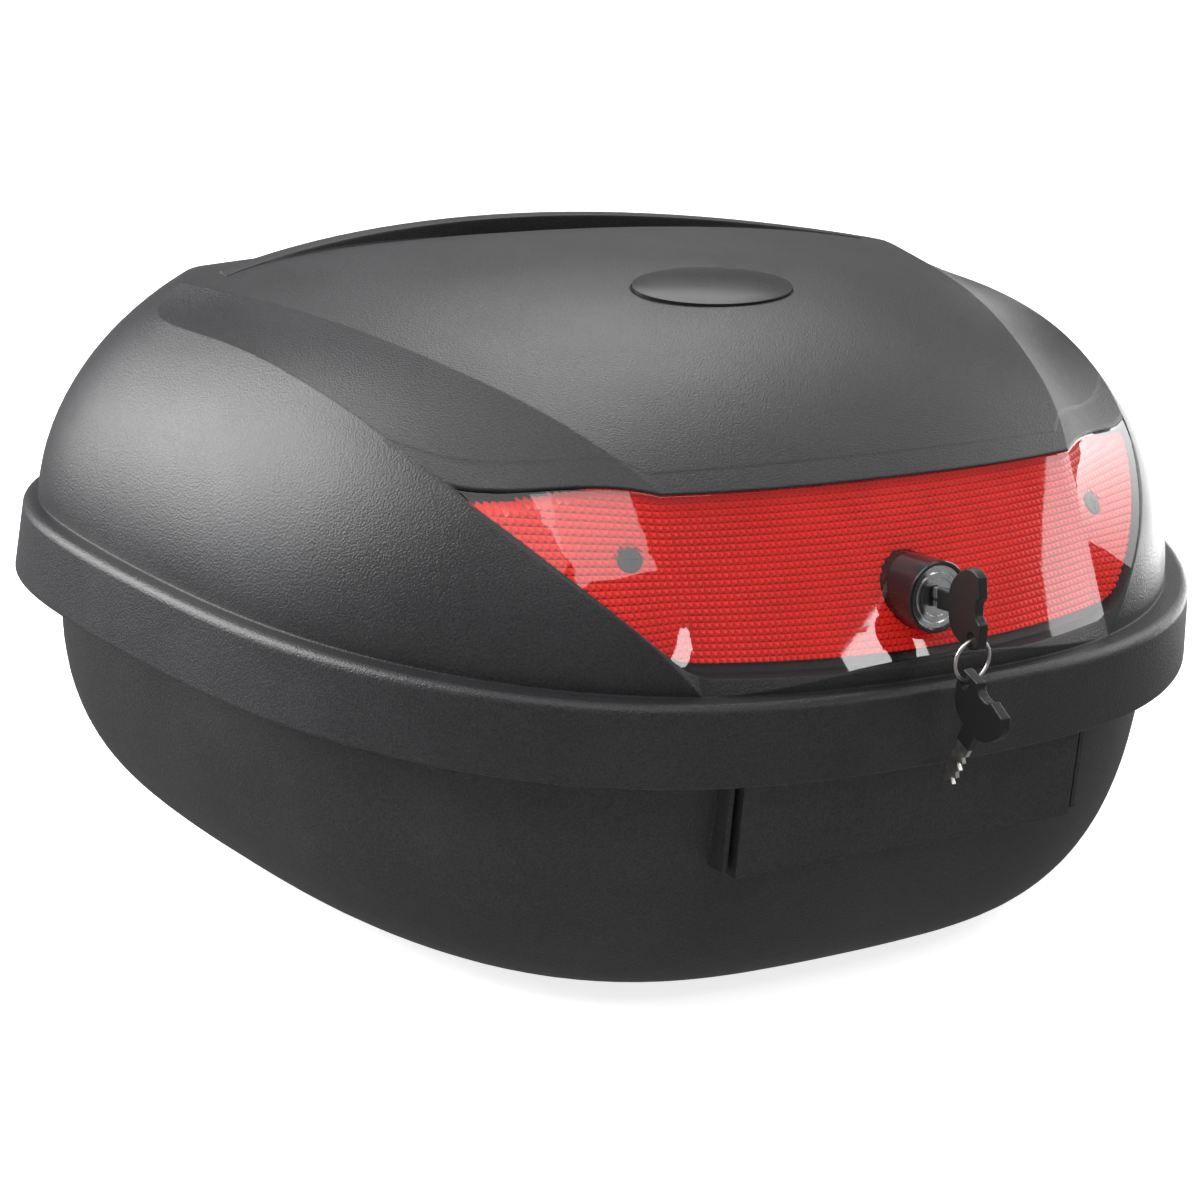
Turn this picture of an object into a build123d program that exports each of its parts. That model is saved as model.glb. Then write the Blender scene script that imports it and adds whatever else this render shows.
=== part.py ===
from build123d import *
import os
from math import cos, pi, radians, sin, tan

# Hard motorcycle top case: a bowl-shaped base, a domed lid on two hinges, a lock in the rear
# reflector and a quick-release catch in the floor. Millimetres. +Z up, -Y towards the rear of the
# motorcycle, where the reflector and lock are. Z = 0 is the flat seat on the mounting plate.

# ---- plan outline of the parting line -------------------------------------------------------
HALF_WIDTH = 282.2
CENTRE_Y = 38.5          # widest line of the outline, ahead of the seat's centre
REAR_REACH = 266.4       # from the widest line to the rear
FRONT_REACH = 189.0      # from the widest line to the hinge side
OUTLINE_POWERS = (2.77, 2.88)  # superellipse powers of the rear and front halves
FLARE = 0.00055          # the case widens towards the hinge side, per millimetre
OUTLINE_POINTS = 40

# ---- heights --------------------------------------------------------------------------------
SKIRT_BOTTOM = 125.0
SKIRT_TOP = 161.0
RIM_TOP = 149.0
DOME_FOOT = 158.0
DOME_HEIGHT = 136.8
LID_SEAT_Z = 156.0       # underside of the ledge, which presses on the seal

# ---- walls ----------------------------------------------------------------------------------
WALL = 3.5
FLOOR = 4.0
LID_WALL = 3.0
SKIRT_DRAFT = 2.8        # how far the skirt leans in from bottom to top
SKIRT_EDGE_RADIUS = 4.4
SKIRT_FOOT_RADIUS = 1.0
LEDGE = 8.6              # ledge between the skirt's rounded top and the dome

# ---- base bowl ------------------------------------------------------------------------------
BOWL_INSET = 18.7        # bowl wall inside the skirt's outline
SEAT_HALF_WIDTH = 138.0
SEAT_REAR = 174.0
SEAT_FRONT = 62.0
BOWL_POWER = 2.6
SEAT_REAR_POWER = 3.5    # the bowl grows squarer towards its seat
BOWL_STEPS = 9
BOWL_LAST_ANGLE = 82.0
REAR_PAD_HALF_WIDTH = 93.0
REAR_PAD_Y = -212.0
REAR_PAD_BOTTOM = 79.0
PAD_RIB_WIDTH = 2.5
PAD_RIB_GAP = 3.0
PAD_RIB_DROP = 2.5       # how far the ribs stand back from the pad's face
FLANGE_INSET = 8.5
FLANGE_THICKNESS = 4.0

# ---- lid dome and roof ----------------------------------------------------------------------
DOME_POWER = 1.97
DOME_POWERS = (2.62, 3.12)  # the dome is rounder than the skirt at the rear, squarer in front
DOME_TOP_HALF_WIDTH = 122.0
DOME_TOP_REAR = 26.0
DOME_TOP_FRONT = 89.0
DOME_STEPS = 9
DOME_LAST_ANGLE = 84.0

# Roof cross-sections from the rear to the hinge side: y, crown height, crease x, crease z and the
# downward slope of the scooped wing outside the crease.
ROOF_SECTIONS = (
    (-232.0, 198.0, 82.0, 196.0, 0.25),
    (-157.0, 243.5, 112.4, 237.4, 0.27),
    (-120.0, 262.0, 129.5, 253.0, 0.39),
    (-75.0, 277.5, 146.8, 262.9, 0.30),
    (-17.0, 287.5, 167.5, 269.5, 0.23),
    (35.0, 289.0, 183.0, 270.8, 0.24),
    (90.0, 285.5, 200.5, 268.7, 0.35),
    (150.0, 273.5, 214.0, 262.0, 0.45),
    (235.0, 240.0, 232.0, 236.0, 0.50),
)
ROOF_HALF_SPAN = 330.0
WING_SAG = 3.0           # how far the wing is scooped below a straight line
WING_WIDTH = 62.0

LIP_END_X = 188.0
LIP_END_Y = 119.0
LIP_MIDDLE_Y = 165.0
LIP_THICKNESS = 9.0
LIP_END_Z = 270.0
LIP_MIDDLE_Z = 280.0
LIP_ROOT_Z = 235.0

# ---- reflector ------------------------------------------------------------------------------
# The rear facet is a shallow bow between two kinks, with a straight wing outside each kink.
FACET_KINK_X = 112.1
FACET_LOW_Z = 168.0
FACET_LOW_BOW_Y = -217.5
FACET_LOW_KINK_Y = -197.6
FACET_LOW_WING_SLOPE = -0.20
FACET_HIGH_Z = 236.5
FACET_HIGH_BOW_Y = -168.0
FACET_HIGH_KINK_Y = -157.9
FACET_HIGH_WING_SLOPE = 0.69
FACET_SPAN_Z = (130.0, 300.0)
FACET_FAR_Y = 320.0
LENS_THICKNESS = 3.0
POCKET_DEPTH = 6.0
LENS_EDGE = 0.3          # side wall left around the lens
LENS_GAP = 0.2
ROOF_LIP = 0.5           # edge of the roof left above the lens
LENS_TOP_GAP = 0.4
LENS_CORNER_X = 114.0    # lower corners of the lens, and the lean of its sides beside them
LENS_SIDE_ANGLE = 41.0
LENS_CORNER_RADIUS = 26.0
PANEL_SIDE_BORDER = 1.9  # clear border of the lens outside the prism panel, square to the dome
PANEL_BORDER = 4.5       # the same along the top and bottom
LENS_SCREW_X = 129.0
LENS_SCREW_Z = 213.0
LENS_SCREW_HEAD = 5.4
LENS_SCREW_SEAT = 5.1    # depth of the screw heads' undersides behind the facet
LENS_SCREW_LENGTH = 7.0
LENS_SCREW_HOLE = 1.6

# ---- badge ----------------------------------------------------------------------------------
BADGE_Y = -22.0
BADGE_HALF_LENGTH = 43.0
BADGE_HALF_WIDTH = 24.0
BADGE_TILT = 6.5
BADGE_Z = 286.6
BADGE_SINK = 1.6         # depth of the badge's recess
BADGE_DOME = (62.0, 35.0, 9.0)
BADGE_DOME_DROP = 5.6

# ---- hinges ---------------------------------------------------------------------------------
HINGE_X = 120.0
HINGE_Y = 231.0
HINGE_Z = 118.0
KNUCKLE_RADIUS = 6.5
KNUCKLE_WIDTH = 18.0
EAR_WIDTH = 7.0
EAR_GAP = 0.4
PIN_RADIUS = 2.5
PIN_CLEARANCE = 0.05
PIN_HEAD_RADIUS = 4.2
PIN_HEAD_HEIGHT = 1.6
EAR_ROOT_Y = 198.0       # the ears reach this far into the bowl's wall
KNUCKLE_ROOT_Y = 217.0
KNUCKLE_TOP_Z = 151.0
KNUCKLE_WEB_Y = 229.5
KNUCKLE_SLOPE_Z = 128.0  # the web slopes from here up to the skirt
KNUCKLE_SLOPE_Y = 221.0

# ---- lock: local z points out of the lock face, local y is up -------------------------------
LOCK_FACE = (0.0, -211.5, 196.2)
LOCK_TILT = 8.0
BEZEL_RADIUS = 16.0
BEZEL_BACK = -27.0
FACE_RADIUS = 13.8
FACE_THICKNESS = 3.2
BARREL_RADIUS = 11.0
PLUG_RADIUS = 8.5
RUNNING = 0.05
BOSS_RADIUS = 20.0
BOSS_BACK = -31.0
NUT_THICKNESS = 4.0
NUT_FLATS = 28.0
BARREL_BACK = -40.0
CAM_FRONT = -41.0
CAM_THICKNESS = 3.0
CAM_REACH = 28.0
CAM_WIDTH = 10.0
CAM_HUB_RADIUS = 8.0
CAM_SQUARE = 7.0
KEY_THICKNESS = 5.0
BLADE_THICKNESS = 2.0
BLADE_HEIGHT = 8.0
EYE_RADIUS = 2.6
EYE_X = 26.0
EYE_Y = -12.6
RING_RADIUS = 9.2
RING_WIRE = 0.8
EYE_SLACK = 1.2          # from an eye's centre to the wire hanging in it
SPARE_TILT = 22.0

# ---- keeper on the base rim -----------------------------------------------------------------
KEEPER_BACK_Y = -204.4
KEEPER_SHEET = 3.0
KEEPER_HALF_WIDTH = 40.0
KEEPER_BOTTOM_Z = 118.0
KEEPER_SHELF_Z = 143.0
KEEPER_SHELF_END_X = -10.0
KEEPER_POST_END_X = -32.0
KEEPER_HOOK_END_X = -13.0
KEEPER_HALF_DEPTH = 6.0  # of post and hook, either side of the cam
HOOK_SHEET = 4.0
CAM_HEADROOM = 0.9
KEEPER_HOLES = [(-28.0, 128.0), (28.0, 128.0)]

# ---- quick-release catch in the floor -------------------------------------------------------
CATCH_HALF_WIDTH = 28.0
CATCH_REAR_Y = -134.0
CATCH_FRONT_Y = -94.0
CATCH_HEIGHT = 20.0
BOLT_HALF_WIDTH = 10.0
BOLT_THICKNESS = 4.0
BOLT_REACH = 8.0
SLIDER_REAR_Y = -82.0
SLIDER_FRONT_Y = -62.0
COVER_FRONT_Y = -36.0
HOOK_SLOT_X = 60.0
HOOK_SLOT_LENGTH = 30.0
HOOK_SLOT_WIDTH = 10.0
HOOK_SLOT_Y = 58.0
SLIDER_LIFT = 0.4        # running gap under the slider
SLIDER_HALF_WIDTH = 14.0
SLIDER_TOP = 12.0
THUMB_HALF_WIDTH = 11.0
THUMB_Y = (-76.0, -70.0)
THUMB_TOP = 27.0
THUMB_RIBS = 4
THUMB_RIB_RADIUS = 0.9
THUMB_RIB_PITCH = 3.5
COVER_WALL = 2.5
COVER_TOP = 15.0
COVER_FOOT_HALF_WIDTH = 25.0
COVER_FOOT = 2.4
COVER_GAP = 0.4          # running gap between slider and cover
COVER_NOSE = 5.5         # the cover's reach over the bolt
COVER_WINDOW_Y = (-78.0, -60.5)
COVER_HOLES = [(side * 21.0, y) for side in (-1, 1) for y in (-76.0, -42.0)]
SPRING_RADIUS = 2.4
SPRING_WIRE = 0.45
SPRING_TURNS = 7.5
SPRING_Z = 8.2

# ---- seal, mat and screws -------------------------------------------------------------------
SEAL_HEIGHT = 6.6
SEAL_OUTER_INSET = 9.3
SEAL_INNER_INSET = 13.7
MAT_THICKNESS = 2.5
MAT_BORDER = 8.0
MAT_FRONT_BORDER = 6.0
MAT_CATCH_HALF_WIDTH = 36.0
MAT_SLOT_MARGIN = 5.0
SCREW_SLOT = 0.8         # width of a cross recess

FAR = 400.0              # beyond the case in every direction

os.makedirs("parts", exist_ok=True)


def oval(z, half_width, rear, front, powers=OUTLINE_POWERS):
    """Closed face at height z whose plan is the flared superellipse of the case."""
    points = []
    for step in range(OUTLINE_POINTS):
        angle = 2 * pi * (step + 0.5) / OUTLINE_POINTS
        across, along = cos(angle), sin(angle)
        reach = rear if along < 0 else front
        power = powers[0] if along < 0 else powers[1]
        dy = reach * abs(along) ** (2 / power) * (1 if along > 0 else -1)
        dx = half_width * abs(across) ** (2 / power) * (1 if across > 0 else -1)
        points.append((dx * (1 + FLARE * dy), CENTRE_Y + dy, z))
    return make_face(Spline(*points, periodic=True))


def outline(z, inset):
    """The parting-line plan, moved in by inset, at height z."""
    return oval(z, HALF_WIDTH - inset, REAR_REACH - inset, FRONT_REACH - inset)


def block(x0, x1, y0, y1, z0, z1):
    """Box between two corners."""
    centre = Pos((x0 + x1) / 2, (y0 + y1) / 2, (z0 + z1) / 2)
    return centre * Box(x1 - x0, y1 - y0, z1 - z0)


def rod(radius, z0, z1):
    """Cylinder on the local Z axis between two heights."""
    return Pos(0, 0, (z0 + z1) / 2) * Cylinder(radius, z1 - z0)


def stations(count, last_angle, power):
    """Steps down a superellipse profile: share of the height and share of the width left."""
    shares = []
    for step in range(count):
        angle = radians(last_angle * step / (count - 1))
        shares.append((sin(angle) ** (2 / power), cos(angle) ** (2 / power)))
    return shares


def bowl(inset, floor_z):
    """Solid of the base's bowl, moved in by inset and stopped at floor_z."""
    shares = stations(BOWL_STEPS, BOWL_LAST_ANGLE, BOWL_POWER)
    deepest = shares[-1][0]
    sections = []
    for depth, width in shares:
        z = SKIRT_BOTTOM - (SKIRT_BOTTOM - floor_z) * depth / deepest
        top = BOWL_INSET + inset
        half_width = SEAT_HALF_WIDTH - inset + (HALF_WIDTH - top - SEAT_HALF_WIDTH + inset) * width
        rear = SEAT_REAR - inset + (REAR_REACH - top - SEAT_REAR + inset) * width
        front = SEAT_FRONT - inset + (FRONT_REACH - top - SEAT_FRONT + inset) * width
        rear_power = SEAT_REAR_POWER + (OUTLINE_POWERS[0] - SEAT_REAR_POWER) * width
        sections.append(oval(z, half_width, rear, front, (rear_power, OUTLINE_POWERS[1])))
    collar = extrude(sections[0], RIM_TOP - SKIRT_BOTTOM)
    return loft(sections) + collar


def dome(inset, foot_z):
    """Solid of the lid's dome before the roof and rear facet trim it."""
    shares = stations(DOME_STEPS, DOME_LAST_ANGLE, DOME_POWER)
    foot_inset = SKIRT_DRAFT + LEDGE + inset
    sections = []
    for height, width in shares:
        z = DOME_FOOT + (DOME_HEIGHT - inset) * height
        half_width = DOME_TOP_HALF_WIDTH + (HALF_WIDTH - foot_inset - DOME_TOP_HALF_WIDTH) * width
        rear = DOME_TOP_REAR + (REAR_REACH - foot_inset - DOME_TOP_REAR) * width
        front = DOME_TOP_FRONT + (FRONT_REACH - foot_inset - DOME_TOP_FRONT) * width
        sections.append(oval(z, half_width, rear, front, DOME_POWERS))
    solid = loft(sections)
    if foot_z < DOME_FOOT:
        solid += extrude(sections[0], foot_z - DOME_FOOT)
    return solid


def roof(drop):
    """Solid under the roof: crowned centre panel, a crease, and a scooped wing on each side."""
    faces = []
    for y, crown, crease_x, crease_z, slope in ROOF_SECTIONS:
        peak = (0, y, crown - drop)
        crease = [(side * crease_x, y, crease_z - drop) for side in (-1, 1)]
        mid_x = crease_x + WING_WIDTH / 2
        end_x = crease_x + WING_WIDTH
        mid_z = crease_z - drop - slope * WING_WIDTH / 2 - WING_SAG
        end_z = crease_z - drop - slope * WING_WIDTH
        wing_mid = [(side * mid_x, y, mid_z) for side in (-1, 1)]
        wing_end = [(side * end_x, y, end_z) for side in (-1, 1)]
        fall = end_z - slope * (ROOF_HALF_SPAN - end_x)
        far = [(side * ROOF_HALF_SPAN, y, fall) for side in (-1, 1)]
        low = [(side * ROOF_HALF_SPAN, y, 0) for side in (-1, 1)]
        edges = [
            ThreePointArc(crease[0], peak, crease[1]),
            ThreePointArc(crease[1], wing_mid[1], wing_end[1]),
            Line(wing_end[1], far[1]),
            Line(far[1], low[1]),
            Line(low[1], low[0]),
            Line(low[0], far[0]),
            Line(far[0], wing_end[0]),
            ThreePointArc(wing_end[0], wing_mid[0], crease[0]),
        ]
        faces.append(make_face(edges))
    return loft(faces)


def facet_y(z, low, high):
    """Linear change of a facet dimension with height."""
    share = (z - FACET_LOW_Z) / (FACET_HIGH_Z - FACET_LOW_Z)
    return low + (high - low) * share


def rear_facet(depth):
    """Solid in front of the rear facet, the facet moved in by depth along its normal."""
    lean = (FACET_HIGH_BOW_Y - FACET_LOW_BOW_Y) / (FACET_HIGH_Z - FACET_LOW_Z)
    shift = depth * (1 + lean ** 2) ** 0.5
    faces = []
    for z in FACET_SPAN_Z:
        bow = facet_y(z, FACET_LOW_BOW_Y, FACET_HIGH_BOW_Y) + shift
        kink = facet_y(z, FACET_LOW_KINK_Y, FACET_HIGH_KINK_Y) + shift
        slope = facet_y(z, FACET_LOW_WING_SLOPE, FACET_HIGH_WING_SLOPE)
        wing = kink + slope * (ROOF_HALF_SPAN - FACET_KINK_X)
        left, right = (-FACET_KINK_X, kink, z), (FACET_KINK_X, kink, z)
        near = [(side * ROOF_HALF_SPAN, wing, z) for side in (-1, 1)]
        far = [(side * ROOF_HALF_SPAN, FACET_FAR_Y, z) for side in (-1, 1)]
        edges = [
            ThreePointArc(left, (0, bow, z), right),
            Line(right, near[1]),
            Line(near[1], far[1]),
            Line(far[1], far[0]),
            Line(far[0], near[0]),
            Line(near[0], left),
        ]
        faces.append(make_face(edges))
    return loft(faces, ruled=True)


def lens_front_view(low_z):
    """Block behind the lens's front view: a level lower edge at low_z with rounded corners."""
    corner_x = LENS_CORNER_X + low_z - FACET_LOW_Z
    top_x = corner_x + (FAR - low_z) / tan(radians(LENS_SIDE_ANGLE))
    corners = Polyline(
        (-corner_x, low_z), (corner_x, low_z), (top_x, FAR), (-top_x, FAR), close=True
    )
    view = make_face(corners)
    low_corners = view.vertices().group_by(Axis.Y)[0]
    view = fillet(low_corners, LENS_CORNER_RADIUS)
    return extrude(Plane.XZ * view, FAR, both=True)


def facet_slab(near, far, side_edge, top_edge, low_z):
    """Slab between two depths behind the rear facet, its outline moved in from dome and roof."""
    slab = (rear_facet(near) - rear_facet(far)) & dome(side_edge, DOME_FOOT) & roof(top_edge)
    return slab & lens_front_view(low_z)


def save(name, shape):
    """Write one node's STEP file."""
    export_step(shape, "parts/" + name + ".step")


def moved(shape, place):
    """A copy of shape at a location."""
    return place * shape


LOCK = Location(
    Plane(
        origin=LOCK_FACE,
        x_dir=(1, 0, 0),
        z_dir=(0, -cos(radians(LOCK_TILT)), sin(radians(LOCK_TILT))),
    )
)


# ---- base -----------------------------------------------------------------------------------
def hinge_ears():
    """Two moulded ears at each hinge, joined to the bowl's wall."""
    ears = []
    offset = KNUCKLE_WIDTH / 2 + EAR_GAP + EAR_WIDTH / 2
    for hinge in (-HINGE_X, HINGE_X):
        for side in (-1, 1):
            x = hinge + side * offset
            arm = block(
                x - EAR_WIDTH / 2, x + EAR_WIDTH / 2, EAR_ROOT_Y, HINGE_Y,
                HINGE_Z - KNUCKLE_RADIUS, HINGE_Z + KNUCKLE_RADIUS - 0.5,
            )
            ring = Pos(x, HINGE_Y, HINGE_Z) * Rot(0, 90, 0) * Cylinder(KNUCKLE_RADIUS, EAR_WIDTH)
            ears.append(arm + ring)
    return ears


def catch_tunnel(wall):
    """Raised tunnel in the floor where the mounting plate's catch enters."""
    return block(
        -CATCH_HALF_WIDTH - wall, CATCH_HALF_WIDTH + wall,
        CATCH_REAR_Y - wall, CATCH_FRONT_Y + wall,
        0 if wall else -1, CATCH_HEIGHT + wall,
    )


def pad_rib(side):
    """Upright rib beside the rear pad, set back from its face."""
    near = REAR_PAD_HALF_WIDTH + PAD_RIB_GAP
    far = near + PAD_RIB_WIDTH
    return block(
        min(side * near, side * far), max(side * near, side * far),
        REAR_PAD_Y + PAD_RIB_DROP, -180, REAR_PAD_BOTTOM + 2, 123,
    )


def base_shell():
    outer = bowl(0, 0)
    pad = block(-REAR_PAD_HALF_WIDTH, REAR_PAD_HALF_WIDTH, REAR_PAD_Y, -180, REAR_PAD_BOTTOM, 123)
    inner = bowl(WALL, FLOOR)
    flange = extrude(outline(RIM_TOP - FLANGE_THICKNESS, FLANGE_INSET), FLANGE_THICKNESS)
    shell = outer + pad + flange
    for side in (-1, 1):
        shell += pad_rib(side)
    for ear in hinge_ears():
        shell += ear
    shell -= inner
    shell -= extrude(outline(RIM_TOP - 1, BOWL_INSET + WALL), 3)
    shell += catch_tunnel(WALL) & bowl(0, 0)
    shell -= catch_tunnel(0)
    shell -= block(
        -BOLT_HALF_WIDTH - 0.5, BOLT_HALF_WIDTH + 0.5,
        CATCH_FRONT_Y - 1, CATCH_FRONT_Y + WALL + 1,
        FLOOR + 0.2, FLOOR + BOLT_THICKNESS + 0.9,
    )
    for side in (-1, 1):
        x = side * HOOK_SLOT_X
        shell -= block(
            x - HOOK_SLOT_LENGTH / 2, x + HOOK_SLOT_LENGTH / 2,
            HOOK_SLOT_Y - HOOK_SLOT_WIDTH / 2, HOOK_SLOT_Y + HOOK_SLOT_WIDTH / 2,
            -1, FLOOR + 1,
        )
        shell -= Pos(side * HINGE_X, HINGE_Y, HINGE_Z) * Rot(0, 90, 0) * Cylinder(
            PIN_RADIUS + PIN_CLEARANCE, KNUCKLE_WIDTH + 2 * (EAR_WIDTH + EAR_GAP) + 2
        )
    for x, z in KEEPER_HOLES:
        shell -= Pos(x, KEEPER_BACK_Y, z) * Rot(90, 0, 0) * Cylinder(1.6, 5)
    for x, y in COVER_HOLES:
        shell -= Pos(x, y, FLOOR) * Cylinder(1.3, 5)
    return shell


save("base_shell", base_shell())

seal = extrude(outline(RIM_TOP, SEAL_OUTER_INSET), SEAL_HEIGHT)
seal -= extrude(outline(RIM_TOP, SEAL_INNER_INSET), SEAL_HEIGHT)
save("rim_seal", seal)

mat_plan = oval(
    FLOOR, SEAT_HALF_WIDTH - MAT_BORDER, SEAT_REAR - MAT_BORDER, SEAT_FRONT - MAT_FRONT_BORDER
)
mat = extrude(mat_plan, MAT_THICKNESS)
mat -= block(-MAT_CATCH_HALF_WIDTH, MAT_CATCH_HALF_WIDTH, -FAR, COVER_FRONT_Y + 3, 0, FAR)
slot_reach_x = HOOK_SLOT_LENGTH / 2 + MAT_SLOT_MARGIN
slot_reach_y = HOOK_SLOT_WIDTH / 2 + MAT_SLOT_MARGIN
for side in (-1, 1):
    x = side * HOOK_SLOT_X
    mat -= block(
        x - slot_reach_x, x + slot_reach_x,
        HOOK_SLOT_Y - slot_reach_y, HOOK_SLOT_Y + slot_reach_y, 0, FAR,
    )
save("floor_mat", mat)


def hinge_pin(side):
    """Headed steel pin through one hinge."""
    length = KNUCKLE_WIDTH + 2 * (EAR_WIDTH + EAR_GAP)
    pin = Cylinder(PIN_RADIUS, length)
    head = Pos(0, 0, (length + PIN_HEAD_HEIGHT) / 2) * Cylinder(PIN_HEAD_RADIUS, PIN_HEAD_HEIGHT)
    return Pos(side * HINGE_X, HINGE_Y, HINGE_Z) * Rot(0, side * 90, 0) * (pin + head)


save("hinge_pin_left", hinge_pin(-1))
save("hinge_pin_right", hinge_pin(1))


# ---- keeper that the lock's cam turns under -------------------------------------------------
def lock_depth_point(depth):
    """World y and z of a point on the lock's axis, depth behind its face."""
    tilt = radians(LOCK_TILT)
    return LOCK_FACE[1] + depth * cos(tilt), LOCK_FACE[2] - depth * sin(tilt)


cam_y, cam_z = lock_depth_point(-CAM_FRONT + CAM_THICKNESS / 2)
hook_low = cam_z + CAM_WIDTH / 2 + CAM_HEADROOM
hook_top = hook_low + HOOK_SHEET
hook_rear = cam_y - KEEPER_HALF_DEPTH
hook_front = cam_y + KEEPER_HALF_DEPTH
shelf_low = KEEPER_SHELF_Z - KEEPER_SHEET
back_plate = block(
    -KEEPER_HALF_WIDTH, KEEPER_HALF_WIDTH, KEEPER_BACK_Y, KEEPER_BACK_Y + KEEPER_SHEET,
    KEEPER_BOTTOM_Z, KEEPER_SHELF_Z,
)
shelf = block(
    -KEEPER_HALF_WIDTH, KEEPER_SHELF_END_X, KEEPER_BACK_Y, hook_front, shelf_low, KEEPER_SHELF_Z
)
post = block(-KEEPER_HALF_WIDTH, KEEPER_POST_END_X, hook_rear, hook_front, shelf_low, hook_top)
hook = block(-KEEPER_HALF_WIDTH, KEEPER_HOOK_END_X, hook_rear, hook_front, hook_low, hook_top)
keeper = back_plate + shelf + post + hook
for x, z in KEEPER_HOLES:
    keeper -= Pos(x, KEEPER_BACK_Y, z) * Rot(90, 0, 0) * Cylinder(1.9, 20)
save("keeper_bracket", keeper)


def screw(radius, length, head_radius, head_height):
    """Pan-head screw along local Z, its head's underside at the origin and its shank below."""
    shank = rod(radius, -length, 0)
    head = rod(head_radius, 0, head_height)
    head = fillet(head.edges().group_by(Axis.Z)[-1], head_height * 0.45)
    slot = Pos(0, 0, head_height) * Box(head_radius * 1.2, SCREW_SLOT, head_height * 0.9)
    cross = Pos(0, 0, head_height) * Box(SCREW_SLOT, head_radius * 1.2, head_height * 0.9)
    return shank + head - slot - cross


keeper_screw = Rot(-90, 0, 0) * screw(1.5, 5.5, 3.4, 2.2)
keeper_face = KEEPER_BACK_Y + KEEPER_SHEET
save("keeper_screws", Compound([Pos(x, keeper_face, z) * keeper_screw for x, z in KEEPER_HOLES]))

# ---- quick-release catch --------------------------------------------------------------------
slide_z = FLOOR + SLIDER_LIFT
slider = block(
    -BOLT_HALF_WIDTH, BOLT_HALF_WIDTH, CATCH_FRONT_Y - BOLT_REACH, SLIDER_FRONT_Y,
    slide_z, slide_z + BOLT_THICKNESS,
)
nose = Plane.YZ * make_face(
    Polyline(
        (CATCH_FRONT_Y - BOLT_REACH - 1, slide_z - 1),
        (CATCH_FRONT_Y - BOLT_REACH + 4, slide_z - 1),
        (CATCH_FRONT_Y - BOLT_REACH - 1, slide_z + 3),
        close=True,
    )
)
slider -= extrude(nose, 20, both=True)
slider += block(
    -SLIDER_HALF_WIDTH, SLIDER_HALF_WIDTH, SLIDER_REAR_Y, SLIDER_FRONT_Y, slide_z, SLIDER_TOP
)
slider += block(-THUMB_HALF_WIDTH, THUMB_HALF_WIDTH, *THUMB_Y, SLIDER_TOP, THUMB_TOP)
for i in range(THUMB_RIBS):
    rib_z = SLIDER_TOP + THUMB_RIB_PITCH * (i + 1)
    slider += Pos(0, THUMB_Y[0], rib_z) * Rot(0, 90, 0) * Cylinder(
        THUMB_RIB_RADIUS, 2 * THUMB_HALF_WIDTH
    )
save("release_slider", slider)

cover_half_width = SLIDER_HALF_WIDTH + COVER_GAP + COVER_WALL + 0.1
cover = block(
    -cover_half_width, cover_half_width, SLIDER_REAR_Y - COVER_NOSE, COVER_FRONT_Y, FLOOR, COVER_TOP
)
cover += block(
    -COVER_FOOT_HALF_WIDTH, COVER_FOOT_HALF_WIDTH, SLIDER_REAR_Y - 0.5, COVER_FRONT_Y,
    FLOOR, FLOOR + COVER_FOOT,
)
cover -= block(
    -SLIDER_HALF_WIDTH - COVER_GAP, SLIDER_HALF_WIDTH + COVER_GAP,
    SLIDER_REAR_Y - 0.6, COVER_FRONT_Y - COVER_WALL, FLOOR - 1, SLIDER_TOP + COVER_GAP,
)
cover -= block(
    -BOLT_HALF_WIDTH - COVER_GAP, BOLT_HALF_WIDTH + COVER_GAP,
    SLIDER_REAR_Y - COVER_NOSE - 0.5, SLIDER_REAR_Y,
    FLOOR - 1, slide_z + BOLT_THICKNESS + COVER_GAP,
)
cover -= block(-THUMB_HALF_WIDTH - 0.6, THUMB_HALF_WIDTH + 0.6, *COVER_WINDOW_Y, SLIDER_TOP, FAR)
for x, y in COVER_HOLES:
    cover -= Pos(x, y, FLOOR + 1) * Cylinder(1.7, 12)
save("release_cover", cover)

cover_screw = screw(1.25, 4.5, 2.8, 1.8)
save(
    "release_cover_screws",
    Compound([Pos(x, y, FLOOR + COVER_FOOT) * cover_screw for x, y in COVER_HOLES]),
)

spring_length = COVER_FRONT_Y - COVER_WALL - SLIDER_FRONT_Y
spring_path = Helix(
    pitch=spring_length / SPRING_TURNS, height=spring_length - 2 * SPRING_WIRE, radius=SPRING_RADIUS
)
spring_plane = Plane(origin=spring_path @ 0, z_dir=spring_path % 0)
spring = sweep(spring_plane * Circle(SPRING_WIRE), path=spring_path, is_frenet=True)
spring = Pos(0, SLIDER_FRONT_Y + SPRING_WIRE, SPRING_Z) * Rot(-90, 0, 0) * spring
save("release_spring", spring)


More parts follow.
